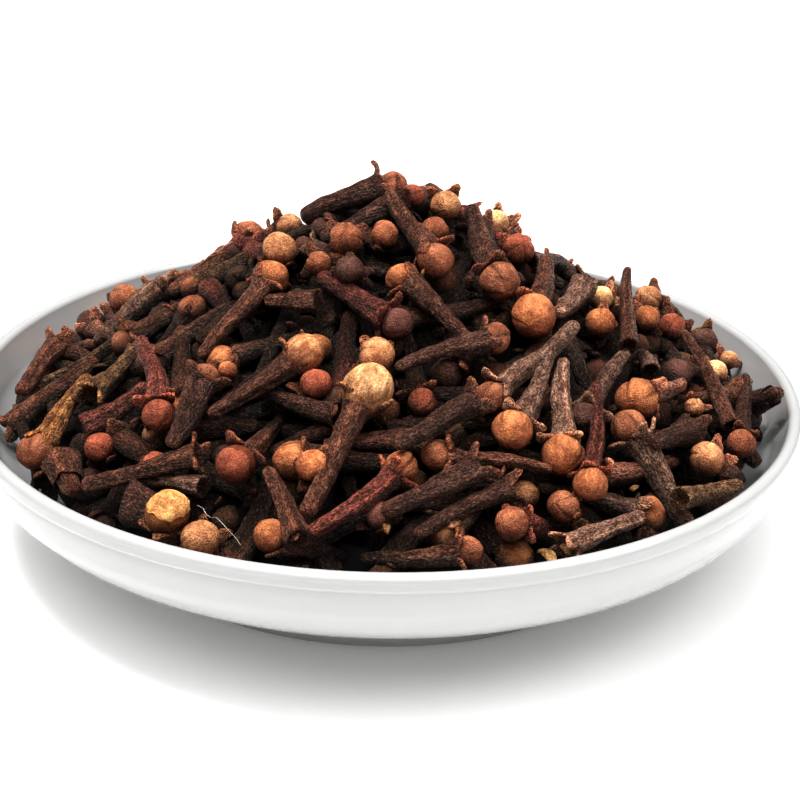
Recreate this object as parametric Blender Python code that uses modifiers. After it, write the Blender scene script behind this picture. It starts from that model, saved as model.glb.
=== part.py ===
"""A small white ceramic dish heaped with whole dried cloves.

The dish is one turned shell with a rounded lip and a foot ring. The cloves are one heap:
a core that follows the heap's cone, with the cloves of its surface fused on. Units are
metres, +Z is up, and the origin is at the middle of the dish's base.
"""

import math
import random

import bmesh
import bpy
import numpy as np
from mathutils import Matrix, Vector

MM = 0.001
FIT_GAP = 0.3 * MM

# Dish
RIM_RADIUS = 50.0 * MM
DISH_HEIGHT = 18.0 * MM
LIP_ROUND = 0.85 * MM
WALL = 2.5 * MM
GROOVE_BELOW_LIP = 1.75 * MM
GROOVE_DEPTH = 0.2 * MM
BELLY_RADIUS = 41.2 * MM
BELLY_HEIGHT = 6.2 * MM
WALL_FULLNESS = 0.66
FLOOR_RADIUS = 27.0 * MM
FLOOR_HEIGHT = 3.9 * MM
FOOT_RADIUS = 34.4 * MM
FOOT_WIDTH = 2.8 * MM
FOOT_HEIGHT = 2.3 * MM
FOOT_ROUND = 0.35 * MM
RECESS_DEPTH = 1.2 * MM
DISH_SIDES = 52

# Heap, as the mean surface that its cloves lie in
PEAK_X = 1.0 * MM
PEAK_Y = 1.5 * MM
PEAK_HEIGHT = 40.8 * MM
EDGE_HEIGHT = 15.6 * MM
EDGE_FRONT = 46.5 * MM
EDGE_BACK = 43.0 * MM
EDGE_LEFT = 45.5 * MM
EDGE_RIGHT = 44.5 * MM
HEAP_CURVE = 1.1
CORE_DEPTH = 1.5 * MM
CORE_EDGE_SHARE = 0.97

# One clove, along its own +Z from tail to ball
CLOVE_LENGTH_LEAST = 12.5 * MM
CLOVE_LENGTH_MOST = 16.5 * MM
TAIL_RADIUS = 0.85 * MM
CALYX_RADIUS = 1.4 * MM
TOOTH_REACH = 2.55 * MM
BALL_RADIUS = 2.15 * MM
BALL_SHARE = 0.26
CLOVE_SIDES = 6

# How the cloves of the surface are spread
CLOVE_COUNT = 112
LIES_TRIED = 12
SPINE_SHARES = (0.05, 0.27, 0.5, 0.73, 0.93)
CLOVE_SINK = 0.5 * MM
SINK_SPREAD = 0.5 * MM
TILT_SPREAD = 0.16
NO_BALL_SHARE = 0.14
SHIFT_STEP = 0.4 * MM
SHIFTS_MOST = 16
SEED = 41
GOLDEN_TURN = math.pi * (3.0 - math.sqrt(5.0))


def clear_scene():
    for obj in list(bpy.data.objects):
        bpy.data.objects.remove(obj, do_unlink=True)


def make_collection(name):
    collection = bpy.data.collections.new(name)
    bpy.context.scene.collection.children.link(collection)
    return collection


def make_material(name, colour, roughness):
    material = bpy.data.materials.new(name)
    material.use_nodes = True
    shader = material.node_tree.nodes["Principled BSDF"]
    shader.inputs["Base Color"].default_value = (*colour, 1.0)
    shader.inputs["Roughness"].default_value = roughness
    shader.inputs["Metallic"].default_value = 0.0
    return material


def arc(centre, radius, first_degrees, last_degrees, steps):
    """Points (radius, height) on a circle's arc, both ends included."""
    angles = np.radians(np.linspace(first_degrees, last_degrees, steps + 1))
    return [
        (centre[0] + radius * math.cos(angle), centre[1] + radius * math.sin(angle))
        for angle in angles
    ]


def sweep(start, bend, end, steps):
    """Points (radius, height) on a quadratic curve that leans towards bend."""
    points = []
    for step in range(steps + 1):
        share = step / steps
        weights = ((1 - share) ** 2, 2 * share * (1 - share), share**2)
        points.append(
            tuple(
                sum(weight * point[axis] for weight, point in zip(weights, (start, bend, end)))
                for axis in range(2)
            )
        )
    return points


def outer_wall():
    """The outside from under the rim's groove down to the belly."""
    top = (RIM_RADIUS - 0.15 * MM, DISH_HEIGHT - GROOVE_BELOW_LIP - 0.3 * MM)
    bend = (
        RIM_RADIUS - 0.4 * MM,
        top[1] - WALL_FULLNESS * (top[1] - BELLY_HEIGHT),
    )
    return sweep(top, bend, (BELLY_RADIUS, BELLY_HEIGHT), 6)


def inner_wall():
    """The inside from the flat floor up to just under the lip, a wall's thickness in."""
    wall = outer_wall()
    offset = []
    for (r0, z0), (r1, z1) in zip(wall[:-1], wall[1:]):
        run, fall = r0 - r1, z0 - z1
        length = math.hypot(run, fall)
        middle = ((r0 + r1) / 2, (z0 + z1) / 2)
        offset.append(
            (middle[0] - WALL * fall / length, middle[1] + WALL * run / length)
        )
    floor_edge = (FLOOR_RADIUS, FLOOR_HEIGHT)
    low = offset[-1]
    bend = (low[0] - 6.5 * MM, FLOOR_HEIGHT + 0.7 * MM)
    return sweep(floor_edge, bend, low, 3) + offset[-2::-1]


def dish_profile():
    """The whole section, from the floor's middle over the lip and down to the base's middle."""
    lip_centre = (RIM_RADIUS - LIP_ROUND, DISH_HEIGHT - LIP_ROUND)
    groove_height = DISH_HEIGHT - GROOVE_BELOW_LIP
    rim_band = [
        (RIM_RADIUS, groove_height + 0.25 * MM),
        (RIM_RADIUS - GROOVE_DEPTH, groove_height),
    ]
    foot_top = (FOOT_RADIUS + 0.5 * MM, FOOT_HEIGHT)
    underside = sweep(
        (BELLY_RADIUS, BELLY_HEIGHT),
        (FOOT_RADIUS + 2.4 * MM, FOOT_HEIGHT + 1.0 * MM),
        foot_top,
        3,
    )
    foot_centre = (FOOT_RADIUS - FOOT_ROUND, FOOT_ROUND)
    foot_inner = FOOT_RADIUS - FOOT_WIDTH
    foot = [
        *arc(foot_centre, FOOT_ROUND, 0, -90, 2),
        (foot_inner, 0.0),
        (foot_inner - 0.5 * MM, RECESS_DEPTH),
    ]
    return [
        (0.0, FLOOR_HEIGHT),
        *inner_wall(),
        *arc(lip_centre, LIP_ROUND, 180, 0, 5),
        *rim_band,
        *outer_wall(),
        *underside[1:],
        *foot,
        (0.0, RECESS_DEPTH),
    ]


def make_dish(collection):
    profile = dish_profile()
    mesh = bpy.data.meshes.new("dish")
    points = [(radius, 0.0, height) for radius, height in profile]
    edges = [(i, i + 1) for i in range(len(points) - 1)]
    mesh.from_pydata(points, edges, [])
    dish = bpy.data.objects.new("dish", mesh)
    collection.objects.link(dish)
    turn = dish.modifiers.new("turn", "SCREW")
    turn.steps = DISH_SIDES
    turn.render_steps = DISH_SIDES
    turn.use_merge_vertices = True
    turn.merge_threshold = 0.00001
    turn.use_smooth_shade = True
    mesh.materials.append(make_material("white_glaze", (0.86, 0.86, 0.84), 0.12))
    return dish


def edge_radius(direction):
    """How far the heap reaches from its peak, in this direction of the plan."""
    across = EDGE_RIGHT if math.cos(direction) > 0 else EDGE_LEFT
    along = EDGE_BACK if math.sin(direction) > 0 else EDGE_FRONT
    return across * math.cos(direction) ** 2 + along * math.sin(direction) ** 2


def heap_height(x, y):
    """Height of the heap's mean surface over a point of the plan."""
    run, rise = x - PEAK_X, y - PEAK_Y
    share = math.hypot(run, rise) / edge_radius(math.atan2(rise, run))
    return EDGE_HEIGHT + (PEAK_HEIGHT - EDGE_HEIGHT) * (1.0 - share**HEAP_CURVE)


def heap_normal(x, y):
    step = 1.0 * MM
    slope_x = (heap_height(x + step, y) - heap_height(x - step, y)) / (2 * step)
    slope_y = (heap_height(x, y + step) - heap_height(x, y - step)) / (2 * step)
    return Vector((-slope_x, -slope_y, 1.0)).normalized()


def make_core(collection):
    """The heap's inside: a ball whose top takes the heap's cone and whose bottom fills the dish."""
    inside = inner_wall()
    radii = [0.0] + [point[0] for point in inside]
    heights = [FLOOR_HEIGHT] + [point[1] for point in inside]
    core = bmesh.new()
    bmesh.ops.create_icosphere(core, subdivisions=3, radius=1.0)
    for vert in core.verts:
        direction = math.atan2(vert.co.y, vert.co.x)
        share = math.hypot(vert.co.x, vert.co.y) * CORE_EDGE_SHARE
        reach = share * edge_radius(direction)
        x = PEAK_X + reach * math.cos(direction)
        y = PEAK_Y + reach * math.sin(direction)
        top = heap_height(x, y) - CORE_DEPTH
        floor = float(np.interp(math.hypot(x, y), radii, heights)) + 2 * FIT_GAP
        if vert.co.z > 0.05:
            vert.co = (x, y, top)
        elif vert.co.z < -0.05:
            vert.co = (x, y, min(floor, top - 1.0 * MM))
        else:
            vert.co = (x, y, (top + min(floor, top)) / 2)
    bmesh.ops.triangulate(core, faces=core.faces)
    bmesh.ops.recalc_face_normals(core, faces=core.faces)
    mesh = bpy.data.meshes.new("cloves")
    core.to_mesh(mesh)
    core.free()
    heap = bpy.data.objects.new("cloves", mesh)
    collection.objects.link(heap)
    return heap


def clove_rings(length, with_ball):
    """(height, radius at the flats, radius at the teeth) of one clove's sections."""
    calyx = length * (1.0 - BALL_SHARE)
    rings = [
        (0.0, TAIL_RADIUS, TAIL_RADIUS),
        (calyx - 1.6 * MM, CALYX_RADIUS, CALYX_RADIUS),
        (calyx + 0.3 * MM, 1.2 * CALYX_RADIUS, TOOTH_REACH),
    ]
    if not with_ball:
        return rings + [(calyx + 0.9 * MM, 0.9 * CALYX_RADIUS, 0.9 * CALYX_RADIUS)]
    return rings + [
        (calyx + 1.7 * MM, BALL_RADIUS, BALL_RADIUS),
        (length, 0.5 * BALL_RADIUS, 0.5 * BALL_RADIUS),
    ]


def make_clove(name, collection, length, with_ball, placing):
    """A closed clove with few sides, drawn out ring by ring from its tail."""
    clove = bmesh.new()
    rings = clove_rings(length, with_ball)
    bmesh.ops.create_circle(
        clove, cap_ends=True, segments=CLOVE_SIDES, radius=TAIL_RADIUS
    )
    end = list(clove.faces)
    for step, (height, flat, tooth) in enumerate(rings[1:]):
        grown = bmesh.ops.extrude_face_region(clove, geom=end)["geom"]
        if step > 0:
            bmesh.ops.delete(clove, geom=end, context="FACES_ONLY")
        end = [item for item in grown if isinstance(item, bmesh.types.BMFace)]
        for vert in (item for item in grown if isinstance(item, bmesh.types.BMVert)):
            side = round(math.atan2(vert.co.y, vert.co.x) / (2 * math.pi) * CLOVE_SIDES)
            radius = tooth if side % 2 else flat
            vert.co = Vector((vert.co.x, vert.co.y, 0)).normalized() * radius
            vert.co.z = height
    bmesh.ops.triangulate(clove, faces=clove.faces)
    bmesh.ops.recalc_face_normals(clove, faces=clove.faces)
    bmesh.ops.transform(clove, matrix=placing, verts=clove.verts)
    mesh = bpy.data.meshes.new(name)
    clove.to_mesh(mesh)
    clove.free()
    collection.objects.link(bpy.data.objects.new(name, mesh))


def clears_dish(placing, length, section):
    """Whether a clove keeps the fitting gap to the dish, whose section is given as points."""
    for share, radius in ((0.0, 1.1 * MM), (0.4, 1.3 * MM), (0.75, TOOTH_REACH), (0.93, 2.2 * MM)):
        point = placing @ Vector((0.0, 0.0, share * length))
        off_axis = math.hypot(point.x, point.y)
        nearest = np.hypot(section[:, 0] - off_axis, section[:, 1] - point.z).min()
        if nearest < radius + FIT_GAP or off_axis > RIM_RADIUS - 2.2 * MM:
            return False
    return True


def dish_section():
    """The dish's inside and lip as close points, for the clearance test."""
    profile = np.array(dish_profile())
    shares = np.linspace(0, len(profile) - 1, 12 * len(profile))
    steps = np.arange(len(profile))
    return np.stack(
        [np.interp(shares, steps, profile[:, axis]) for axis in range(2)], axis=1
    )


def lie_of_clove(x, y, heading, tilt, sink, length, roll):
    """Where a clove lies whose middle is over this point of the heap, sunk below its surface."""
    normal = heap_normal(x, y)
    lying = Vector((math.cos(heading), math.sin(heading), 0.0))
    lying = (lying - normal * lying.dot(normal)).normalized()
    axis = (lying + normal * math.tan(tilt)).normalized()
    middle = Vector((x, y, heap_height(x, y))) - normal * sink
    return (
        Matrix.Translation(middle - axis * length / 2)
        @ axis.to_track_quat("Z", "Y").to_matrix().to_4x4()
        @ Matrix.Rotation(roll, 4, "Z")
    )


def spine(placing, length):
    """Points along a clove's axis, to measure how near two cloves come."""
    return np.array([placing @ Vector((0, 0, share * length)) for share in SPINE_SHARES])


def make_surface_cloves(collection):
    """Cloves over the heap's surface, evenly spread, each taking the freest of several lies."""
    draw = random.Random(SEED)
    section = dish_section()
    placed = np.full((1, 3), 1.0)
    for i in range(CLOVE_COUNT):
        turn = i * GOLDEN_TURN
        reach = math.sqrt((i + 0.5) / CLOVE_COUNT) * edge_radius(turn)
        length = draw.uniform(CLOVE_LENGTH_LEAST, CLOVE_LENGTH_MOST)
        roll = draw.uniform(0, math.pi / 2)
        with_ball = draw.random() > NO_BALL_SHARE
        best = None
        for _ in range(LIES_TRIED):
            heading = draw.uniform(0, 2 * math.pi)
            tilt = draw.gauss(0, TILT_SPREAD)
            sink = CLOVE_SINK + draw.uniform(-SINK_SPREAD, SINK_SPREAD)
            for shift in range(SHIFTS_MOST):
                spread = max(reach - shift * SHIFT_STEP, 0.0)
                x = PEAK_X + spread * math.cos(turn)
                y = PEAK_Y + spread * math.sin(turn)
                placing = lie_of_clove(x, y, heading, tilt, sink, length, roll)
                if clears_dish(placing, length, section):
                    break
            else:
                continue
            points = spine(placing, length)
            apart = np.linalg.norm(points[:, None] - placed[None], axis=2).min()
            if best is None or apart > best[0]:
                best = (apart, placing, points)
        if best is not None:
            placed = np.vstack([placed, best[2]])
            make_clove(f"clove_{i:03d}", collection, length, with_ball, best[1])


def keep_outer_skin(mesh):
    """Keeps the largest closed surface, so sealed hollows are filled and loose scraps go."""
    skin = bmesh.new()
    skin.from_mesh(mesh)
    left = set(skin.faces)
    shells = []
    while left:
        seed = left.pop()
        shell = [seed]
        front = [seed]
        while front:
            face = front.pop()
            for edge in face.edges:
                for other in edge.link_faces:
                    if other in left:
                        left.remove(other)
                        shell.append(other)
                        front.append(other)
        shells.append(shell)
    shells.sort(key=len)
    spare = [face for shell in shells[:-1] for face in shell]
    bmesh.ops.delete(skin, geom=spare, context="FACES")
    bmesh.ops.triangulate(skin, faces=skin.faces)
    skin.to_mesh(mesh)
    skin.free()


def make_heap(collection, joined):
    """The core with its cloves, as one solid."""
    heap = make_core(collection)
    make_surface_cloves(joined)
    union = heap.modifiers.new("join", "BOOLEAN")
    union.operation = "UNION"
    union.operand_type = "COLLECTION"
    union.collection = joined
    union.solver = "MANIFOLD"
    graph = bpy.context.evaluated_depsgraph_get()
    whole = bpy.data.meshes.new_from_object(heap.evaluated_get(graph))
    heap.modifiers.remove(union)
    for obj in list(joined.objects):
        bpy.data.objects.remove(obj, do_unlink=True)
    bpy.data.collections.remove(joined)
    whole.name = "cloves"
    keep_outer_skin(whole)
    heap.data = whole
    whole.materials.clear()
    whole.materials.append(make_material("dried_clove", (0.16, 0.07, 0.04), 0.6))
    return heap


def main():
    clear_scene()
    collection = make_collection("dish_of_cloves")
    joined = make_collection("joined_cloves")
    make_dish(collection)
    make_heap(collection, joined)


main()
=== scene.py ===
import math
from collections import namedtuple

import bmesh
import bpy
import numpy as np
from mathutils import Matrix, Vector


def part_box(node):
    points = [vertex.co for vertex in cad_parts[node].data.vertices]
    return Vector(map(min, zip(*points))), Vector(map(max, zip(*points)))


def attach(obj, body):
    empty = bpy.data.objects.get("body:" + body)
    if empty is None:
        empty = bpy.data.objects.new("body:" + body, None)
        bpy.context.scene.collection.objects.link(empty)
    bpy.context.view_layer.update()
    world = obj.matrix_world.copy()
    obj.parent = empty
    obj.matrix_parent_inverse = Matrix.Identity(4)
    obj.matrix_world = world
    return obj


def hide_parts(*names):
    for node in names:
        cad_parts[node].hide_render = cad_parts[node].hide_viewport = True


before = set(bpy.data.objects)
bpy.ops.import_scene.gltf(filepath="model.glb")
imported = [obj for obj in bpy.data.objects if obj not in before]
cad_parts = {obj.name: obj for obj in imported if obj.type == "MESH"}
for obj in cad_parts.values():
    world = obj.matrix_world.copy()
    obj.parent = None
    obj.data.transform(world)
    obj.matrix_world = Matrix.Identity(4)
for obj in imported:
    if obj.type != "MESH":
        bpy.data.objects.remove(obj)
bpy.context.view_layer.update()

# Shapes are worked out in millimetres and written in metres
MM = 0.001

# The dish, from the frame
_, dish_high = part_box("dish")
_, heap_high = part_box("cloves")
RIM_RADIUS = dish_high[0] / MM
RIM_HEIGHT = dish_high[2] / MM
HEAP_TOP = heap_high[2] / MM

# The dish's section
LIP_ROUND = 0.85
GROOVE_BELOW_LIP = 1.75
SECOND_LINE_BELOW_LIP = 3.6
SECOND_LINE_DEPTH = 0.09
BELLY_RADIUS = 41.2
BELLY_HEIGHT = 6.2
WALL_FULLNESS = 0.66
WALL = 2.5
FLOOR_RADIUS = 27.0
FLOOR_HEIGHT = 3.9
FOOT_RADIUS = 34.4
FOOT_HEIGHT = 2.3
FOOT_WIDTH = 2.8
FOOT_ROUND = 0.35
RECESS_DEPTH = 1.2
DISH_STEPS = 192

# The camera, fitted to the circles of the dish's rim, belly and foot
PHOTO_SIDE = 800
CAMERA_DISTANCE = 177.5
CAMERA_RISE = math.radians(22.68)
CAMERA_ROLL = math.radians(1.37)
AIM_RIGHT = 1.92
AIM_BELOW_RIM = 4.4
FOCAL_PIXELS = 1443.0
SENSOR_WIDTH = 36.0

# Depths tried along a ray, from before the dish to behind it
RAY_DEPTHS = np.linspace(100.0, 235.0, 1351)

# The heap's mean surface: a blunt cone whose reach differs by side
PEAK_X = 1.0
PEAK_Y = 1.5
PEAK_HEIGHT = HEAP_TOP - 1.9
EDGE_HEIGHT = RIM_HEIGHT - 2.4
EDGE_FRONT = 46.5
EDGE_BACK = 43.0
EDGE_LEFT = 45.5
EDGE_RIGHT = 44.5
HEAP_CURVE = 1.1

# The heap's shaded inside
CORE_EDGE_SHARE = 0.93
CORE_DEPTH = 5.0
CORE_LUMPS = 0.9
CORE_FLOOR = 4.4

RANDOM = np.random.default_rng(2207)
PIECE_SEED = 91


def srgb(red, green, blue):
    """A colour given as screen values of 0 to 255, as linear light."""
    values = np.array([red, green, blue]) / 255.0
    return np.where(values <= 0.04045, values / 12.92, ((values + 0.055) / 1.055) ** 2.4)


BARK = {
    "dark": srgb(90, 62, 52),
    "umber": srgb(112, 76, 60),
    "maroon": srgb(120, 70, 60),
    "grey": srgb(146, 118, 102),
    "olive": srgb(122, 96, 70),
    "gold": srgb(164, 120, 76),
    "rose": srgb(154, 110, 92),
}
BUD = {
    "orange": srgb(200, 134, 86),
    "tan": srgb(208, 156, 108),
    "pale": srgb(250, 208, 148),
    "sand": srgb(232, 178, 112),
    "brown": srgb(168, 110, 76),
    "red": srgb(166, 96, 68),
    "plum": srgb(130, 88, 74),
    "dark": srgb(106, 74, 60),
}
FIBRE_COLOUR = srgb(236, 232, 222)
SHADE_COLOUR = srgb(14, 9, 8)

# Cloves seen in the photograph, in its 800 x 800 pixels: where the bud and the tail are, how wide
# bud and stem show, their colours, how far the clove stands above the heap's mean surface in
# millimetres, and its kind. A tail of None points away from the camera, into the heap.
Seen = namedtuple("Seen", "head tail bud_px stem_px bark bud lift kind")
SEEN = [
    Seen((392, 185), (303, 220), 30, 28, "dark", "brown", 1.2, "bud"),
    Seen((412, 197), (320, 238), 26, 23, "dark", "red", 0.4, "bud"),
    Seen((435, 260), (388, 193), 36, 23, "umber", "brown", 1.4, "bud"),
    Seen((445, 207), None, 30, 22, "umber", "tan", 0.8, "bud"),
    Seen((432, 230), None, 28, 22, "umber", "brown", 0.2, "bud"),
    Seen((500, 282), (470, 208), 40, 28, "dark", "brown", 1.6, "bud"),
    Seen((497, 222), None, 26, 20, "rose", "pale", 0.4, "bud"),
    Seen((517, 248), None, 32, 22, "maroon", "red", 1.0, "bud"),
    Seen((530, 262), (565, 262), 26, 20, "umber", "brown", -0.6, "stub"),
    Seen((532, 315), (547, 262), 44, 24, "umber", "orange", 1.8, "bud"),
    Seen((583, 285), (555, 315), 24, 24, "grey", "brown", 0.6, "stub"),
    Seen((600, 322), None, 30, 20, "umber", "orange", 0.6, "bud"),
    Seen((602, 298), None, 25, 18, "rose", "pale", 0.8, "bud"),
    Seen((628, 345), (627, 267), 20, 17, "umber", "brown", 1.8, "stub"),
    Seen((648, 298), None, 27, 20, "umber", "tan", 1.0, "bud"),
    Seen((645, 317), None, 26, 20, "umber", "orange", 0.6, "bud"),
    Seen((672, 326), None, 26, 20, "dark", "red", 0.8, "bud"),
    Seen((706, 340), None, 25, 20, "olive", "dark", 0.6, "bud"),
    Seen((716, 371), None, 23, 18, "rose", "pale", 0.6, "bud"),
    Seen((729, 360), None, 18, 16, "rose", "tan", 0.4, "bud"),
    Seen((491, 397), (577, 326), 33, 24, "grey", "brown", 1.6, "bud"),
    Seen((515, 432), (553, 350), 42, 23, "grey", "orange", 2.0, "bud"),
    Seen((563, 455), (562, 360), 42, 24, "grey", "orange", 1.8, "bud"),
    Seen((590, 485), (598, 382), 35, 20, "maroon", "orange", 2.0, "bud"),
    Seen((583, 418), (630, 348), 30, 24, "grey", "dark", 0.6, "bud"),
    Seen((637, 398), (683, 383), 42, 22, "rose", "orange", 1.6, "bud"),
    Seen((630, 428), (690, 527), 36, 26, "grey", "brown", 1.8, "bud"),
    Seen((693, 432), (652, 442), 28, 24, "dark", "dark", 0.4, "bud"),
    Seen((694, 407), None, 19, 16, "rose", "tan", 0.2, "bud"),
    Seen((709, 458), (742, 480), 34, 22, "rose", "tan", 1.2, "bud"),
    Seen((742, 443), (745, 375), 28, 18, "dark", "brown", 0.8, "bud"),
    Seen((757, 403), (780, 390), 22, 20, "dark", "dark", 1.6, "stub"),
    Seen((733, 426), (683, 330), 18, 15, "umber", "brown", 1.6, "stub"),
    Seen((650, 372), (640, 350), 18, 16, "grey", "brown", -0.4, "stub"),
    Seen((678, 500), (740, 486), 22, 20, "olive", "brown", 1.2, "stub"),
    Seen((563, 507), (612, 534), 32, 20, "umber", "brown", 1.0, "bud"),
    Seen((512, 523), (575, 545), 34, 20, "maroon", "brown", 1.0, "bud"),
    Seen((567, 548), (642, 514), 24, 22, "grey", "brown", 1.6, "open"),
    Seen((645, 533), None, 15, 15, "dark", "brown", 0.6, "stub"),
    Seen((580, 523), None, 15, 14, "gold", "brown", 0.4, "stub"),
    Seen((470, 550), (360, 560), 28, 22, "umber", "brown", 1.2, "bud"),
    Seen((270, 535), (358, 563), 34, 24, "grey", "orange", 1.2, "bud"),
    Seen((203, 537), None, 38, 24, "umber", "tan", 0.9, "bud"),
    Seen((167, 515), None, 43, 24, "umber", "sand", 1.6, "flaked"),
    Seen((403, 468), (308, 535), 34, 23, "maroon", "orange", 1.4, "bud"),
    Seen((368, 390), (305, 515), 52, 25, "umber", "pale", 2.6, "cracked"),
    Seen((437, 455), (552, 468), 34, 18, "umber", "brown", 1.6, "bud"),
    Seen((478, 468), (383, 512), 26, 25, "dark", "brown", 1.6, "open"),
    Seen((510, 488), (415, 535), 24, 23, "dark", "brown", 0.6, "open"),
    Seen((380, 515), None, 30, 22, "dark", "plum", 0.2, "bud"),
    Seen((472, 405), (395, 445), 26, 26, "dark", "brown", 0.8, "open"),
    Seen((496, 340), (395, 368), 32, 20, "dark", "brown", 1.4, "bud"),
    Seen((402, 278), (470, 340), 32, 25, "umber", "orange", 1.4, "bud"),
    Seen((398, 322), (320, 275), 34, 26, "maroon", "plum", 1.4, "bud"),
    Seen((320, 300), (265, 302), 22, 20, "umber", "brown", 1.0, "stub"),
    Seen((303, 355), (210, 418), 40, 21, "umber", "tan", 1.8, "cracked"),
    Seen((315, 384), None, 32, 22, "umber", "red", 0.4, "bud"),
    Seen((375, 355), None, 36, 22, "umber", "tan", 0.8, "bud"),
    Seen((340, 415), (258, 395), 24, 22, "dark", "brown", 0.8, "open"),
    Seen((312, 465), None, 32, 22, "umber", "orange", 0.2, "bud"),
    Seen((238, 462), (286, 418), 38, 24, "umber", "red", 1.6, "flaked"),
    Seen((300, 540), (268, 468), 26, 24, "umber", "brown", 0.8, "stub"),
    Seen((345, 240), None, 34, 24, "dark", "brown", 1.0, "bud"),
    Seen((280, 250), None, 34, 24, "umber", "tan", 0.9, "bud"),
    Seen((272, 277), (200, 358), 36, 22, "umber", "orange", 1.4, "bud"),
    Seen((250, 235), (170, 292), 30, 20, "umber", "brown", 1.0, "bud"),
    Seen((320, 262), None, 25, 20, "umber", "brown", 0.4, "bud"),
    Seen((350, 268), None, 28, 20, "dark", "dark", 0.2, "bud"),
    Seen((383, 235), None, 28, 20, "umber", "brown", 0.4, "bud"),
    Seen((125, 300), None, 30, 20, "dark", "brown", 0.8, "bud"),
    Seen((160, 415), (140, 338), 34, 24, "maroon", "red", 1.6, "bud"),
    Seen((205, 380), (172, 447), 34, 26, "dark", "brown", 1.4, "bud"),
    Seen((38, 452), (88, 375), 36, 22, "gold", "brown", 0.8, "bud"),
    Seen((92, 395), (142, 345), 24, 22, "olive", "brown", 1.0, "open"),
    Seen((85, 430), (147, 383), 24, 24, "maroon", "brown", 1.0, "stub"),
    Seen((60, 462), (75, 492), 30, 32, "umber", "brown", 0.6, "stub"),
    Seen((200, 455), (83, 485), 24, 22, "umber", "brown", 1.2, "open"),
    Seen((205, 487), (113, 478), 22, 20, "grey", "brown", 0.8, "stub"),
    Seen((130, 503), (178, 520), 40, 36, "dark", "dark", 0.2, "stub"),
    Seen((155, 465), None, 27, 20, "umber", "red", -0.2, "bud"),
    Seen((100, 447), None, 30, 20, "umber", "red", -0.4, "bud"),
    Seen((227, 370), None, 19, 16, "umber", "orange", 0.0, "bud"),
    Seen((60, 345), (20, 392), 26, 22, "umber", "brown", 0.8, "open"),
]

# Kinds of clove that have their ball
BUDDED = ("bud", "cracked", "flaked")

# Lengths of the cloves seen, from tail to the middle of the bud
LENGTH_SEEN_LEAST = 11.0
LENGTH_SEEN_MOST = 16.5
LENGTH_END_ON = 11.5
LENGTH_STUB = 5.5
LENGTH_SHORT_END_ON = 6.0

# Cloves that a rule lays: the surface between those seen, and the layers under it
SURFACE_COUNT = 270
SECOND_COUNT = 230
THIRD_COUNT = 130
LAYER_DEPTHS = (0.0, 1.7, 3.6, 6.0)
LAYER_SPREAD = 0.5
SEEN_CLEARANCE = 3.0
GOLDEN_TURN = math.pi * (3.0 - math.sqrt(5.0))
RULE_LENGTHS = (10.5, 14.2)
RULE_TILT = 0.2
RULE_BUD_RADII = (1.5, 2.15)
RULE_STEM_RADII = (1.05, 1.45)
RULE_KINDS = ("bud", "cracked", "open", "stub")
RULE_KIND_STEPS = (0.62, 0.67, 0.84)
RULE_BARKS = ("dark", "umber", "maroon", "grey", "umber", "dark", "olive", "rose")
RULE_BUDS = ("brown", "brown", "red", "plum", "dark", "orange", "tan")

# Shares of a clove's length, from tail to bud, where a row of balls stands for it, and the balls'
# radii as shares of the stem's. The last ball is the bud itself.
SPINE = np.array([0.04, 0.25, 0.46, 0.66, 0.82, 1.0])
SPINE_RADII = np.array([0.65, 0.75, 0.85, 0.95, 1.1])

# Settling: how many rounds, how near balls may come, and how strongly overlaps, the wall and the
# heap's own surface move them. Cloves that were seen give way less.
SETTLE_ROUNDS = 70
WALL_ROUNDS = 4
CONTACT_SHARE = 0.94
PUSH_SHARE = 0.55
WALL_PUSH = 0.7
SINK_RATE = 0.12
SEEN_EASE = 0.45

# The calyx's radius as shares of the stem's and of the ball's, and how deep the ball sits in it
CALYX_OF_STEM = 1.32
CALYX_OF_BALL = {"bud": 0.84, "flaked": 0.84, "cracked": 0.72}
BALL_SUNK = 0.56

# A calyx tooth's lean at its base and at its tip: standing, bent out, rolled back, open
TOOTH_CURLS = ((0.8, 0.1), (0.6, 1.6), (0.6, 2.4), (0.4, 1.0))
TOOTH_CHANCES = (0.2, 0.6, 0.2)
MISSING_TOOTH = 0.1

# Broken bits: how many crumbs, and the shards of bud seen, as pixel and length
CRUMB_COUNT = 260
SHARDS = (
    ((545, 551), 1.5),
    ((556, 556), 1.2),
    ((577, 556), 1.3),
    ((628, 492), 0.8),
    ((388, 523), 0.9),
)
FIBRE_PIXELS = (
    (197, 505),
    (203, 508),
    (206, 514),
    (211, 518),
    (216, 517),
    (222, 523),
    (229, 531),
    (236, 538),
    (241, 546),
)
FIBRE_RADIUS = 0.045
FIBRE_STEPS = 57

# How a clove's tint falls off with depth in the heap, as painted shade, and round each bud and stem, as
# painted
# light: darker underneath and lighter on top
PAINTED_SHADE_DEPTHS = (-0.8, 1.1, 3.2)
PAINTED_SHADE_SHARES = (2.05, 0.4, 0.04)
PAINTED_LIGHT_HEIGHTS = (-1.0, -0.3, 0.4, 1.0)
BUD_PAINTED_LIGHT = np.array([(0.22, 0.15, 0.13), (0.6, 0.49, 0.45), (1.02, 1.0, 0.96), (1.28, 1.36, 1.32)])
BARK_PAINTED_LIGHT = np.array([(0.4, 0.38, 0.38), (0.72, 0.7, 0.7), (1.0, 0.99, 0.98), (1.22, 1.2, 1.18)])
BUD_LEVEL = np.array([0.62, 0.67, 0.86])
BARK_LEVEL = np.array([0.78, 0.82, 0.87])

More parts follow.
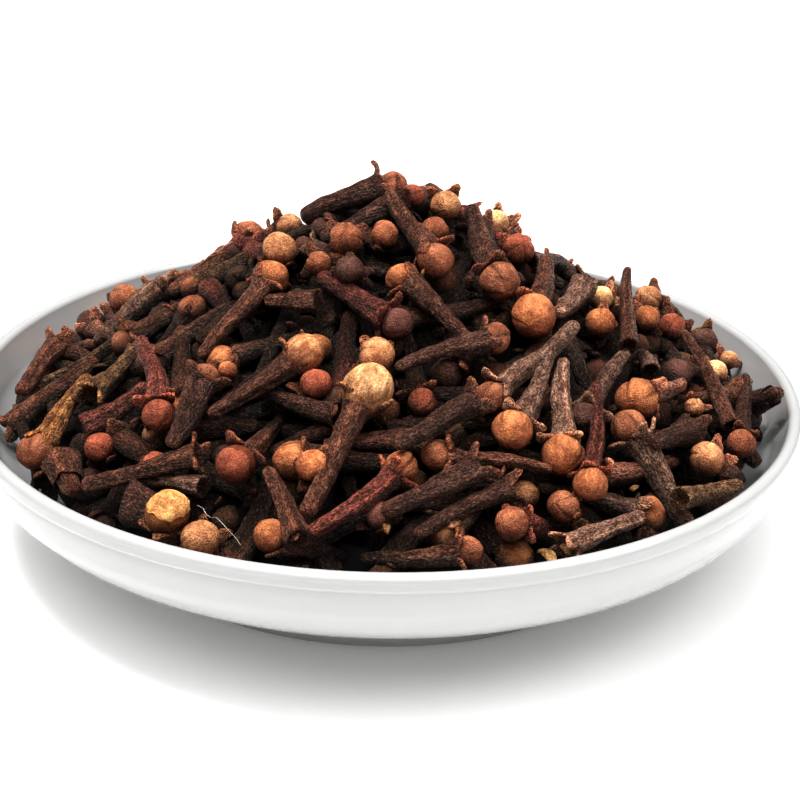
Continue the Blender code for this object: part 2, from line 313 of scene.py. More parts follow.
# Lamps as place, size and power, all aimed at the dish
LAMP_AIM = (0.0, 0.0, 0.01)
LAMPS = {
    "overhead": ((-0.1, -0.15, 1.5), 2.4, 42.0),
    "side": ((0.9, -0.3, 1.1), 0.8, 5.5),
    "key": ((-0.35, 0.0, 1.2), 0.28, 8.0),
}
WORLD_LIGHT = 0.08
FLOOR_HALF = 3.0
# The floor's colour, a little darker near the dish as painted shade, and its glow, painted light that lifts
# the shadow near the dish
FLOOR_NEAR = (0.9, 0.9, 0.895, 1)
FLOOR_FAR = (0.97, 0.97, 0.965, 1)
FLOOR_GLOW = 0.14
VIEW_GAMMA = 0.76


# Camera and rays


def camera_frame():
    """Where the camera is, and its right, up and forward directions, in millimetres."""
    place = np.array(
        [
            0.0,
            -math.cos(CAMERA_RISE) * CAMERA_DISTANCE,
            math.sin(CAMERA_RISE) * CAMERA_DISTANCE + RIM_HEIGHT,
        ]
    )
    aim = np.array([AIM_RIGHT, 0.0, RIM_HEIGHT - AIM_BELOW_RIM])
    forward = (aim - place) / np.linalg.norm(aim - place)
    level = np.cross(forward, (0.0, 0.0, 1.0))
    level /= np.linalg.norm(level)
    above = np.cross(level, forward)
    right = math.cos(CAMERA_ROLL) * level + math.sin(CAMERA_ROLL) * above
    up = math.cos(CAMERA_ROLL) * above - math.sin(CAMERA_ROLL) * level
    return place, right, up, forward


CAMERA_PLACE, CAMERA_RIGHT, CAMERA_UP, CAMERA_FORWARD = camera_frame()


def photo_ray(pixel):
    """The direction from the camera through a pixel of the photograph."""
    half = PHOTO_SIDE / 2
    across = (pixel[0] - half) / FOCAL_PIXELS
    down = (pixel[1] - half) / FOCAL_PIXELS
    ray = CAMERA_FORWARD + across * CAMERA_RIGHT - down * CAMERA_UP
    return ray / np.linalg.norm(ray)


def make_camera():
    camera = bpy.data.cameras.new("camera")
    camera.sensor_width = SENSOR_WIDTH
    camera.lens = SENSOR_WIDTH * FOCAL_PIXELS / PHOTO_SIDE
    camera.clip_start = 0.01
    camera.clip_end = 20.0
    eye = bpy.data.objects.new("camera", camera)
    turn = Matrix([CAMERA_RIGHT, CAMERA_UP, -CAMERA_FORWARD]).transposed()
    eye.matrix_world = Matrix.Translation(Vector(CAMERA_PLACE) * MM) @ turn.to_4x4()
    bpy.context.scene.collection.objects.link(eye)
    bpy.context.scene.camera = eye


# The heap's surface


def edge_radius(direction):
    """How far the heap reaches from its peak, in a direction of the plan."""
    across = np.where(np.cos(direction) > 0, EDGE_RIGHT, EDGE_LEFT)
    along = np.where(np.sin(direction) > 0, EDGE_BACK, EDGE_FRONT)
    return across * np.cos(direction) ** 2 + along * np.sin(direction) ** 2


def heap_height(x, y):
    """Height of the heap's mean surface over points of the plan."""
    run = x - PEAK_X
    rise = y - PEAK_Y
    share = np.hypot(run, rise) / edge_radius(np.arctan2(rise, run))
    return EDGE_HEIGHT + (PEAK_HEIGHT - EDGE_HEIGHT) * (1.0 - share**HEAP_CURVE)


def heap_normal(x, y):
    step = 1.0
    slope_x = (heap_height(x + step, y) - heap_height(x - step, y)) / (2 * step)
    slope_y = (heap_height(x, y + step) - heap_height(x, y - step)) / (2 * step)
    normal = np.array([-slope_x, -slope_y, 1.0])
    return normal / np.linalg.norm(normal)


def on_heap(pixel, lift):
    """The depth and point where a pixel's ray meets the heap raised by lift, or comes nearest to it."""
    ray = photo_ray(pixel)
    points = CAMERA_PLACE + RAY_DEPTHS[:, None] * ray
    above = points[:, 2] - heap_height(points[:, 0], points[:, 1]) - lift
    outside = np.linalg.norm(keep_inside(points, np.full(len(points), 1.2)), axis=1)
    under = np.flatnonzero((above <= 0) & (outside < 0.6))
    row = under[0] if len(under) else np.argmin(np.maximum(above, 0) + 3 * outside)
    return RAY_DEPTHS[row], points[row]


def tail_on_ray(head, pixel, lift, least, most):
    """A tail on its pixel's ray, near the surface and between least and most from the head."""
    ray = photo_ray(pixel)
    depth, _ = on_heap(pixel, lift)
    nearest = (head - CAMERA_PLACE).dot(ray)
    off = np.linalg.norm(CAMERA_PLACE + nearest * ray - head)
    behind = depth - nearest
    if off < most:
        behind = np.clip(behind, -math.sqrt(most**2 - off**2), math.sqrt(most**2 - off**2))
    else:
        behind = 0.0
    if off < least:
        reach = math.sqrt(least**2 - off**2)
        if abs(behind) < reach:
            behind = reach if behind >= -0.3 * reach else -reach
    return CAMERA_PLACE + (nearest + behind) * ray


# The dish's inner wall as radii at heights, carried on past the floor and the rim, and its slope between
INNER_HEIGHTS = np.array([-2.0, 3.9, 4.6, 6.2, 8.6, 11.2, 14.0, RIM_HEIGHT - 0.9, RIM_HEIGHT + 6.0])
INNER_RADII = np.array([0.0, 27.0, 34.0, 38.5, 42.5, 45.0, 46.9, 48.0, 49.2])
SLOPE_HEIGHTS = INNER_HEIGHTS[:-1] + np.diff(INNER_HEIGHTS) / 2
SLOPES = np.diff(INNER_RADII) / np.diff(INNER_HEIGHTS)
WALL_CLEARANCE = 0.25


def keep_inside(points, radii):
    """How far points must move, along the dish's inner wall's normal, for balls to lie inside it."""
    wide = np.maximum(np.hypot(points[:, 0], points[:, 1]), 0.001)
    slope = np.interp(points[:, 2], SLOPE_HEIGHTS, SLOPES)
    steep = np.sqrt(1 + slope**2)
    over = (wide - np.interp(points[:, 2], INNER_HEIGHTS, INNER_RADII)) / steep + radii + WALL_CLEARANCE
    over = np.maximum(over, 0.0)
    inward = -over / steep / wide
    return np.stack([points[:, 0] * inward, points[:, 1] * inward, over * slope / steep], axis=1)


# Laying the cloves


class Lie:
    """One clove's place: its tail and bud as points, its sizes, colours and kind."""

    def __init__(self, tail, head, bud, stem, kind, colours, layer):
        self.tail = np.array(tail, float)
        self.head = np.array(head, float)
        self.bud = bud
        self.stem = stem
        self.kind = kind
        self.colours = colours
        self.layer = layer
        self.rays = None
        self.end_on = False
        self.length = float(np.linalg.norm(self.head - self.tail))


def lay_seen():
    """The cloves of the photograph, on their pixels' rays."""
    lies = []
    for seen in SEEN:
        _, head = on_heap(seen.head, seen.lift)
        scale = np.linalg.norm(head - CAMERA_PLACE) / FOCAL_PIXELS
        bud = seen.bud_px * scale / 2
        stem = seen.stem_px * scale / 2
        if seen.tail is None:
            inward = photo_ray(seen.head) * 0.8 + RANDOM.normal(0, 0.32, 3)
            inward[2] -= 0.5
            length = LENGTH_SHORT_END_ON if seen.kind in ("stub", "flaked") else LENGTH_END_ON
            tail = head + inward / np.linalg.norm(inward) * length
        else:
            least = LENGTH_STUB if seen.kind == "stub" else LENGTH_SEEN_LEAST
            tail = tail_on_ray(head, seen.tail, seen.lift - 0.6, least, LENGTH_SEEN_MOST)
        lie = Lie(tail, head, bud, stem, seen.kind, (seen.bark, seen.bud), 0)
        lie.end_on = seen.tail is None
        lie.rays = (photo_ray(seen.head), None if lie.end_on else tail - CAMERA_PLACE)
        if lie.rays[1] is not None:
            lie.rays = (lie.rays[0], lie.rays[1] / np.linalg.norm(lie.rays[1]))
        lies.append(lie)
    return lies


def lay_by_rule(count, layer, taken):
    """Cloves spread evenly over the heap at a layer's depth, clear of the points taken."""
    lies = []
    for i in range(count):
        turn = i * GOLDEN_TURN + 0.7 * layer
        reach = math.sqrt((i + 0.5) / count) * edge_radius(turn) * 0.985
        length = RANDOM.uniform(*RULE_LENGTHS)
        heading = RANDOM.uniform(0, 2 * math.pi)
        tilt = RANDOM.normal(0, RULE_TILT)
        sink = LAYER_DEPTHS[layer] + RANDOM.uniform(-LAYER_SPREAD, LAYER_SPREAD)
        bud = RANDOM.uniform(*RULE_BUD_RADII)
        stem = RANDOM.uniform(*RULE_STEM_RADII)
        kind = RULE_KINDS[np.searchsorted(RULE_KIND_STEPS, RANDOM.random(), "right")]
        colours = (RULE_BARKS[RANDOM.integers(len(RULE_BARKS))], RULE_BUDS[RANDOM.integers(len(RULE_BUDS))])
        x = PEAK_X + reach * math.cos(turn)
        y = PEAK_Y + reach * math.sin(turn)
        normal = heap_normal(x, y)
        lying = np.array([math.cos(heading), math.sin(heading), 0.0])
        lying -= normal * lying.dot(normal)
        axis = lying / np.linalg.norm(lying) + normal * math.tan(tilt)
        axis /= np.linalg.norm(axis)
        middle = np.array([x, y, heap_height(x, y)]) - normal * sink
        lie = Lie(middle - axis * length / 2, middle + axis * length / 2, bud, stem, kind, colours, layer)
        if taken is not None:
            spine = lie.tail + SPINE[1:5, None] * (lie.head - lie.tail)
            near = np.linalg.norm(spine[:, None] - taken[None], axis=2).min(axis=1)
            if np.sort(near)[1] < SEEN_CLEARANCE:
                continue
        lies.append(lie)
    return lies


def settle(lies):
    """Pushes overlapping cloves apart, each as a row of balls, and keeps them in the dish."""
    count = len(lies)
    tails = np.array([lie.tail for lie in lies])
    heads = np.array([lie.head for lie in lies])
    lengths = np.array([lie.length for lie in lies])
    depths = np.array([LAYER_DEPTHS[lie.layer] for lie in lies])
    seen = np.array([lie.rays is not None for lie in lies])
    radii = np.zeros((count, len(SPINE)))
    for row, lie in enumerate(lies):
        radii[row, :-1] = lie.stem * SPINE_RADII
        radii[row, -1] = lie.bud if lie.kind in BUDDED else lie.stem
        if lie.end_on:
            radii[row, :4] *= 0.3
    owner = np.repeat(np.arange(count), len(SPINE))
    share = np.tile(SPINE, count)
    radius = radii.reshape(-1)
    ease = np.where(seen, SEEN_EASE, 1.0)[owner]
    for turn in range(SETTLE_ROUNDS):
        spine = tails[owner] * (1 - share)[:, None] + heads[owner] * share[:, None]
        if turn % 6 == 0:
            square = (spine**2).sum(axis=1)
            apart = square[:, None] + square[None] - 2 * spine @ spine.T
            close = (radius[:, None] + radius[None] + 1.5) ** 2
            first, second = np.nonzero(np.triu((apart < close) & (owner[:, None] != owner[None]), 1))
        between = spine[first] - spine[second]
        gap = np.linalg.norm(between, axis=1) + 1e-9
        press = np.maximum(CONTACT_SHARE * (radius[first] + radius[second]) - gap, 0.0)
        push = between / gap[:, None] * press[:, None]
        total = ease[first] + ease[second]
        moves = np.zeros_like(spine)
        np.add.at(moves, first, push * (PUSH_SHARE * ease[first] / total)[:, None])
        np.add.at(moves, second, -push * (PUSH_SHARE * ease[second] / total)[:, None])
        high = spine[:, 2] - heap_height(spine[:, 0], spine[:, 1]) + depths[owner]
        moves[:, 2] -= np.where(seen[owner], 0.0, SINK_RATE) * np.clip(high, -0.6, 3.0)
        moves += WALL_PUSH * keep_inside(spine, radius)
        np.add.at(tails, owner, moves * (1 - share)[:, None])
        np.add.at(heads, owner, moves * share[:, None])
        for row in np.flatnonzero(seen):
            head_ray, tail_ray = lies[row].rays
            heads[row] = CAMERA_PLACE + head_ray * (heads[row] - CAMERA_PLACE).dot(head_ray)
            if tail_ray is not None:
                tails[row] = CAMERA_PLACE + tail_ray * (tails[row] - CAMERA_PLACE).dot(tail_ray)
        run = heads - tails
        reach = np.linalg.norm(run, axis=1)
        stretch = np.where(seen, 0.15, 0.5) * (reach - lengths) / reach
        tails += run * stretch[:, None]
        heads -= run * (stretch * np.where(seen, 0.0, 1.0))[:, None]
    for _ in range(WALL_ROUNDS):
        spine = tails[owner] * (1 - share)[:, None] + heads[owner] * share[:, None]
        push = keep_inside(spine, radius).reshape(count, len(SPINE), 3)
        move = push[np.arange(count), np.linalg.norm(push, axis=2).argmax(axis=1)]
        tails += move
        heads += move
    for row, lie in enumerate(lies):
        lie.tail, lie.head = tails[row], heads[row]
        lie.length = float(np.linalg.norm(heads[row] - tails[row]))


def lay_cloves():
    """All the cloves, settled. The flaked bud seen end-on is stood upright, under its cap."""
    seen = lay_seen()
    taken = np.vstack(
        [lie.tail + SPINE[2 if lie.end_on else 0:, None] * (lie.head - lie.tail) for lie in seen]
    )
    surface = lay_by_rule(SURFACE_COUNT, 1, taken)
    second = lay_by_rule(SECOND_COUNT, 2, None)
    third = lay_by_rule(THIRD_COUNT, 3, None)
    lies = seen + surface + second + third
    settle(lies)
    for lie in seen:
        if lie.kind == "flaked" and lie.end_on:
            lie.tail = lie.head + lie.length * np.array([0.1, -0.05, -0.99])
    return lies


# The shapes that cloves are made of


def turned_form(sides, rings):
    """A closed ball's points, as their share from pole to pole and their angle round, and its faces."""
    ball = bmesh.new()
    bmesh.ops.create_uvsphere(ball, u_segments=sides, v_segments=rings, radius=1.0)
    bmesh.ops.triangulate(ball, faces=ball.faces)
    points = np.array([vert.co[:] for vert in ball.verts])
    faces = np.array([[vert.index for vert in face.verts] for face in ball.faces])
    ball.free()
    share = np.arccos(np.clip(-points[:, 2], -1, 1)) / math.pi
    angle = np.arctan2(points[:, 1], points[:, 0])
    return share, angle, faces


Fineness = namedtuple("Fineness", "stem tooth bud")
FINE = Fineness(turned_form(20, 28), turned_form(10, 9), turned_form(32, 18))
MIDDLING = Fineness(turned_form(14, 16), turned_form(8, 6), turned_form(20, 12))
PLAIN = Fineness(turned_form(6, 8), turned_form(4, 4), turned_form(8, 6))

# How fine a clove is by its layer, and the pieces that cloves are joined into, as the layers that each
# holds and whether its cloves have their ball
FINENESS = (FINE, MIDDLING, PLAIN, PLAIN)
PIECES = {
    "seen_budded": ((0,), True),
    "seen_stems": ((0,), False),
    "surface_budded": ((1,), True),
    "surface_stems": ((1,), False),
    "under_budded": ((2, 3), True),
    "under_stems": ((2, 3), False),
}


def stem_points(form, length, stem, flare, is_open, draw):
    """The stem from its tail to the calyx, four-angled and wrinkled; and its mask: rubbed and lighter on
    the ridges and tail end, darker in the creases as painted shade.
    """
    share, angle, _ = form
    tail = stem * draw.uniform(0.58, 0.76)
    waist = stem * draw.uniform(0.8, 0.92)
    rings = [
        (0.0, 0.0, 0.0),
        (0.05, 0.08, tail * 0.72),
        (0.1, 0.55, tail),
        (0.45, length * 0.5, waist),
        (0.7, length - 3.6, stem * (0.98 if is_open else 1.0)),
        (0.82, length - 1.6, stem * 1.12),
    ]
    if is_open:
        rings += [
            (0.9, length, flare),
            (0.94, length - 0.1, flare * 0.75),
            (0.97, length - 0.9, flare * 0.4),
            (1.0, length - 1.0, 0.0),
        ]
    else:
        rings += [
            (0.9, length - 0.4, flare),
            (0.94, length, flare * 0.93),
            (0.97, length + 0.1, flare * 0.5),
            (1.0, length + 0.1, 0.0),
        ]
    steps, heights, radii = np.array(rings).T
    height = np.interp(share, steps, heights)
    radius = np.interp(share, steps, radii)
    body = np.clip(np.sin(share * math.pi), 0, 1) ** 0.5
    swell = 0.06 * np.sin(height * draw.uniform(0.5, 1.0) + draw.uniform(0, 6))
    corners = 0.06 * np.cos(4 * angle + draw.uniform(0, 6))
    ridges = sum(
        size * np.sin(n * angle + draw.uniform(0, 6) + height * draw.uniform(-0.4, 0.4))
        for n, size in ((3, 0.03), (5, 0.035), (6, 0.035), (7, 0.035))
    )
    creases = 0.04 * np.sin(height * draw.uniform(2.4, 3.4) + 2.2 * np.sin(angle * 2 + draw.uniform(0, 6)))
    radius = radius * (1 + body * (swell + corners + ridges + creases))
    flat = draw.uniform(0.8, 0.98)
    # Lighter where ridges and creases stand out and at the tail end, rubbed; darker where they sink in,
    # painted shade
    wear_and_shade = 0.45 + 3.2 * (ridges + creases) + 0.6 * np.exp(-height / 0.5)
    sway_x = 0.16 * np.sin(height * draw.uniform(0.3, 0.6) + draw.uniform(0, 6))
    sway_y = 0.16 * np.sin(height * draw.uniform(0.3, 0.6) + draw.uniform(0, 6))
    points = [radius * np.cos(angle) + sway_x, radius * flat * np.sin(angle) + sway_y, height]
    return np.stack(points, axis=1), wear_and_shade


def tooth_points(form, base, spoke, curl, reach, width, thick, draw):
    """One calyx tooth: a thick flap from its base (out, up) that leans out and curls to its tip."""
    share, angle, _ = form
    steps = np.linspace(0, 1, 24)
    lean = curl[0] + (curl[1] - curl[0]) * steps
    out = base[0] + np.cumsum(np.sin(lean)) * reach / len(steps)
    up = base[1] + np.cumsum(np.cos(lean)) * reach / len(steps)
    out_at = np.interp(share, steps, out)
    up_at = np.interp(share, steps, up)
    lean_at = np.interp(share, steps, lean)
    cut = np.interp(share, [0, 0.1, 0.35, 0.65, 0.88, 1.0], [0, 1.0, 0.9, 0.66, 0.45, 0])
    depth = np.interp(share, [0, 0.12, 0.5, 0.88, 1.0], [0, 1.0, 1.0, 0.9, 0])
    ragged = 1 + 0.12 * np.sin(share * 14 + draw.uniform(0, 6)) * np.sign(np.cos(angle))
    side = width * cut * np.cos(angle) * ragged + 0.25 * draw.normal() * share**2
    deep = thick * depth * np.sin(angle)
    out_at = out_at - np.cos(lean_at) * deep
    up_at = up_at + np.sin(lean_at) * deep
    around = spoke + 0.85 * side / np.maximum(out_at, 0.6)
    wear_and_shade = 0.3 + 0.65 * np.abs(np.cos(angle)) ** 2 * (share > 0.3) + 0.5 * share**3
    return np.stack([out_at * np.cos(around), out_at * np.sin(around), up_at], axis=1), wear_and_shade


def bud_points(form, centre, bud, kind, draw):
    """The ball of four petals, each lapping the next at a seam, and a little pointed on top."""
    share, angle, _ = form
    polar = share * math.pi
    depth = (0.012 if kind == "cracked" else 0.075) * draw.uniform(0.2, 1.2)
    within = np.mod(angle / (math.pi / 2) + 1e-6, 1.0)
    strength = draw.uniform(0.0, 1.3, 4)[np.floor(np.mod(angle / (math.pi / 2) + 0.5, 4.0)).astype(int) % 4]
    lap = np.interp(within, [0.0, 0.15, 0.5, 0.84, 0.9, 1.0], [-1.0, -0.25, 0.1, 0.45, 0.3, -1.0])
    fade = strength * np.interp(share, [0.2, 0.5, 0.95, 1.0], [0.0, 1.0, 0.8, 0.3])
    lumps = sum(
        size * np.sin(n * angle + draw.uniform(0, 6) + m * polar)
        for n, m, size in ((1, 3.0, 0.03), (2, -2.0, 0.022), (3, 5.0, 0.014), (5, -4.0, 0.008))
    )
    radius = bud * (1 + depth * fade * lap + (0.4 if kind == "cracked" else 1.0) * lumps * np.sin(polar))
    turned = angle + draw.uniform(-0.9, 0.9) * share + draw.uniform(0, 6)
    tall = 1.08 if kind == "cracked" else draw.uniform(0.88, 1.02)
    peak = 0.07 * bud * np.exp(-((np.sin(polar) / 0.35) ** 2)) * (share > 0.5)
    lean = draw.normal(0, 0.08, 2) * bud
    seam = np.exp(-((np.minimum(within, 1 - within) / 0.06) ** 2)) * fade
    # Painted light: darker towards the calyx and lighter on top; and painted shade along the seams
    sunk_shade = 0.08 if kind == "cracked" else 0.3 + 3 * depth
    wear_and_shade = np.interp(share, [0.0, 0.35, 0.7, 1.0], [0.05, 0.35, 0.6, 0.75]) - sunk_shade * seam
    points = [
        radius * np.sin(polar) * np.cos(turned) + lean[0],
        radius * np.sin(polar) * np.sin(turned) + lean[1],
        centre - radius * tall * np.cos(polar) + peak,
    ]
    return np.stack(points, axis=1), wear_and_shade


def curve_points(points, whole, turn):
    """Bends points about Y as they rise, so that the chord still runs up Z."""
    if abs(turn) < 1e-3:
        return points
    rate = turn / whole
    bend = points[:, 2] * rate
    x = (1 - np.cos(bend)) / rate + points[:, 0] * np.cos(bend)
    z = np.sin(bend) / rate - points[:, 0] * np.sin(bend)
    cos, sin = math.cos(turn / 2), math.sin(turn / 2)
    return np.stack([x * cos - z * sin, points[:, 1], x * sin + z * cos], axis=1)


class Heap:
    """Collects the points, faces and colours of one joined piece."""

    def __init__(self):
        self.points, self.faces, self.slots = [], [], []
        self.grain, self.tint, self.wear_and_shade = [], [], []
        self.size = 0

    def add(self, points, faces, slot, grain, tint, wear_and_shade):
        self.points.append(points)
        self.faces.append(faces + self.size)
        self.slots.append(np.full(len(faces), slot))
        self.grain.append(grain)
        self.tint.append(np.broadcast_to(tint, (len(points), 4)))
        self.wear_and_shade.append(wear_and_shade)
        self.size += len(points)

    def make(self, name, materials):
        """The joined mesh, with its grain, its tint, which carries painted shade and light, and its mask of
        rubbed edges and painted shade and light, as attributes.
        """
        mesh = bpy.data.meshes.new(name)
        points = np.vstack(self.points) * MM
        faces = np.vstack(self.faces)
        mesh.from_pydata(points, [], faces.tolist())
        mesh.polygons.foreach_set("material_index", np.concatenate(self.slots).astype(np.int32))
        mesh.polygons.foreach_set("use_smooth", np.ones(len(faces), bool))
        for label, kind, values, field in (
            ("grain", "FLOAT_VECTOR", np.vstack(self.grain), "vector"),
            ("tint", "FLOAT_COLOR", np.vstack(self.tint), "color"),
            ("wear_and_shade", "FLOAT", np.concatenate(self.wear_and_shade), "value"),
        ):
            layer = mesh.attributes.new(label, kind, "POINT")
            layer.data.foreach_set(field, values.astype(np.float32).ravel())
        for material in materials:
            mesh.materials.append(material)
        mesh.update()
        piece = bpy.data.objects.new(name, mesh)
        bpy.context.scene.collection.objects.link(piece)
        return piece


def torn_cap(form, whole, bud, draw):
    """The pale skin over a flaked bud's upper part, which ends in a ragged edge."""
    share, angle, _ = form
    points, wear_and_shade = bud_points(form, whole, bud * 1.1, "cracked", draw)
    ragged = 0.14 * np.sin(2 * angle + 2.0) + 0.1 * np.sin(5 * angle + 1.0) + 0.06 * np.sin(11 * angle)
    edge = whole + (0.42 + ragged) * bud
    middle = np.array([0.0, 0.0, whole])
    inner = middle + (points - middle) * 0.9
    inner[:, 2] = np.maximum(inner[:, 2], edge)
    outside = (share > 0.5) & (points[:, 2] > edge)
    return np.where(outside[:, None], points, inner), wear_and_shade


def shade_of(placed, lie, slot):
    """What the tint is multiplied by: painted shade deep in the heap and under each bud and stem, and
    painted light on their tops.
    """
    deep = heap_height(placed[:, 0], placed[:, 1]) - placed[:, 2]
    if slot:
        up = (placed[:, 2] - lie.head[2]) / lie.bud
        shades = BUD_PAINTED_LIGHT
    else:
        axis = (lie.head - lie.tail) / lie.length
        run = placed - lie.tail
        up = (run - np.outer(run @ axis, axis))[:, 2] / lie.stem
        shades = BARK_PAINTED_LIGHT
    round_shade = np.stack([np.interp(up, PAINTED_LIGHT_HEIGHTS, column) for column in shades.T], axis=1)
    return np.interp(deep, PAINTED_SHADE_DEPTHS, PAINTED_SHADE_SHARES)[:, None] * round_shade


def add_clove(heap, lie, fineness, draw):
    """One clove, with its stem, teeth and bud, laid from its tail to its head."""
    closed = lie.kind in BUDDED
    whole = lie.length
    rim = whole - BALL_SUNK * lie.bud if closed else whole
    flare = max(lie.stem * CALYX_OF_STEM, lie.bud * CALYX_OF_BALL.get(lie.kind, 0.0))
    bark = BARK[lie.colours[0]] * draw.uniform(0.8, 1.25)
    bud = BUD[lie.colours[1]] * draw.uniform(0.85, 1.12)
    stem = stem_points(fineness.stem, rim, lie.stem, flare, not closed, draw)
    parts = [(*stem, fineness.stem[2], 0, bark)]
    if lie.kind != "stub":
        for corner in range(4):
            spoke = math.pi / 4 + corner * math.pi / 2 + draw.normal(0, 0.14)
            style = draw.choice(3, p=TOOTH_CHANCES) if closed else 3
            if lie.kind == "cracked":
                style = 2 * (corner % 2)
            curl = TOOTH_CURLS[style]
            curl = (curl[0] + draw.normal(0, 0.1), curl[1] + draw.normal(0, 0.25 if closed else 0.5))
            reach = draw.uniform(2.0, 2.5) * min(max(lie.stem, 1.0), 1.25) / 1.25
            width = flare * (draw.uniform(0.4, 0.5) if lie.kind == "cracked" else draw.uniform(0.62, 0.8))
            thick = draw.uniform(0.22, 0.3)
            if draw.random() < MISSING_TOOTH and lie.layer:
                continue
            base = (flare * 0.55, rim - 0.95) if lie.layer > 1 else (flare * 0.72, rim - 0.7)
            if lie.kind == "cracked":
                base = (flare, rim - 0.45)
            tooth = tooth_points(fineness.tooth, base, spoke, curl, reach, width, thick, draw)
            parts.append((*tooth, fineness.tooth[2], 0, 0.95 * bark + 0.15 * bud))
    if closed:
        ball = bud_points(fineness.bud, whole, lie.bud, lie.kind, draw)
        bared = np.array((0.5, 0.4, 0.3)) if lie.kind == "flaked" else 1.0
        parts.append((*ball, fineness.bud[2], 1, bud * bared))
    if lie.kind == "flaked":
        parts.append((*torn_cap(fineness.bud, whole, lie.bud, draw), fineness.bud[2], 1, bud))
    axis = (lie.head - lie.tail) / lie.length
    spin = Matrix.Rotation(draw.uniform(0, 6.28), 3, "Z")
    turn = np.array(Vector(axis).to_track_quat("Z", "Y").to_matrix() @ spin)
    bend = draw.normal(0, 0.22 if lie.layer == 0 else 0.4)
    away = draw.uniform(0, 100, 3)
    for points, wear_and_shade, faces, slot, tint in parts:
        placed = curve_points(points, whole, bend) @ turn.T + lie.tail
        streak = 1.0 if slot == 0 or lie.kind == "cracked" else 0.6
        level = BUD_LEVEL if slot else BARK_LEVEL
        # Painted shade deep in the heap and painted light round the bud and stem, multiplied into the tint
        shade = shade_of(placed, lie, slot)
        colours = np.hstack([level * tint * shade, np.full((len(points), 1), streak)])
        heap.add(placed, faces, slot, points + away, colours, np.clip(wear_and_shade, 0, 1))


# Materials

WHITE = (1, 1, 1, 1)

# A plant skin: the pebbles' scale and their stretch along the clove, the bump, the light flecks, painted
# glints over pale grains, and how many, and what the colour is multiplied by in hollows as painted shade,
# on rubbed edges, on bud tops as painted light, and in long folds
Skin = namedtuple("Skin", "scale stretch bump speck specks hollow worn fold rough")
BARK_SKIN = Skin(
    scale=6.0,
    stretch=0.5,
    bump=0.00026,
    speck=srgb(196, 166, 148),
    specks=0.4,
    hollow=(0.3, 0.25, 0.23),
    worn=(2.2, 2.0, 1.75),
    fold=(0.62, 0.54, 0.51),
    rough=0.31,
)
BUD_SKIN = Skin(
    scale=6.2,
    stretch=1.0,
    bump=0.00012,
    speck=srgb(246, 216, 172),
    specks=0.2,
    hollow=(0.76, 0.68, 0.62),
    worn=(1.35, 1.32, 1.22),
    fold=(0.6, 0.38, 0.26),
    rough=0.38,
)
BLOTCH_LOW = (0.7, 0.6, 0.56, 1)
BLOTCH_HIGH = (1.24, 1.24, 1.22, 1)
FOLD_HIGH = (1.12, 1.12, 1.1, 1)
# Painted shade in creases, seams and at bud bases; the lift of the light flecks as painted glints
SUNK_SHADE = (0.36, 0.3, 0.28, 1)
SPECK_GLINT_LIFT = (2.6, 2.5, 2.4, 1)
OIL_SHEEN = (1.0, 0.88, 0.8, 1)


def new_material(name):
    material = bpy.data.materials.new(name)
    material.use_nodes = True
    tree = material.node_tree
    return material, tree, tree.nodes["Principled BSDF"]


def node(tree, kind, inputs=None, **settings):
    made = tree.nodes.new(kind)
    for key, value in settings.items():
        setattr(made, key, value)
    for key, value in (inputs or {}).items():
        if isinstance(value, bpy.types.NodeSocket):
            tree.links.new(value, made.inputs[key])
        else:
            made.inputs[key].default_value = value
    return made


def remap(tree, value, low, high, to_low, to_high):
    made = node(tree, "ShaderNodeMapRange", {"Value": value})
    for key, number in (("From Min", low), ("From Max", high), ("To Min", to_low), ("To Max", to_high)):
        made.inputs[key].default_value = number
    return made.outputs["Result"]


def mix_colours(tree, share, first, second, blend="MIX"):
    made = node(tree, "ShaderNodeMix", data_type="RGBA", blend_type=blend)
    for key, value in ((0, share), (6, first), (7, second)):
        if isinstance(value, bpy.types.NodeSocket):
            tree.links.new(value, made.inputs[key])
        else:
            made.inputs[key].default_value = value
    return made.outputs[2]


def multiply(tree, first, second):
    return mix_colours(tree, 1.0, first, second, "MULTIPLY")


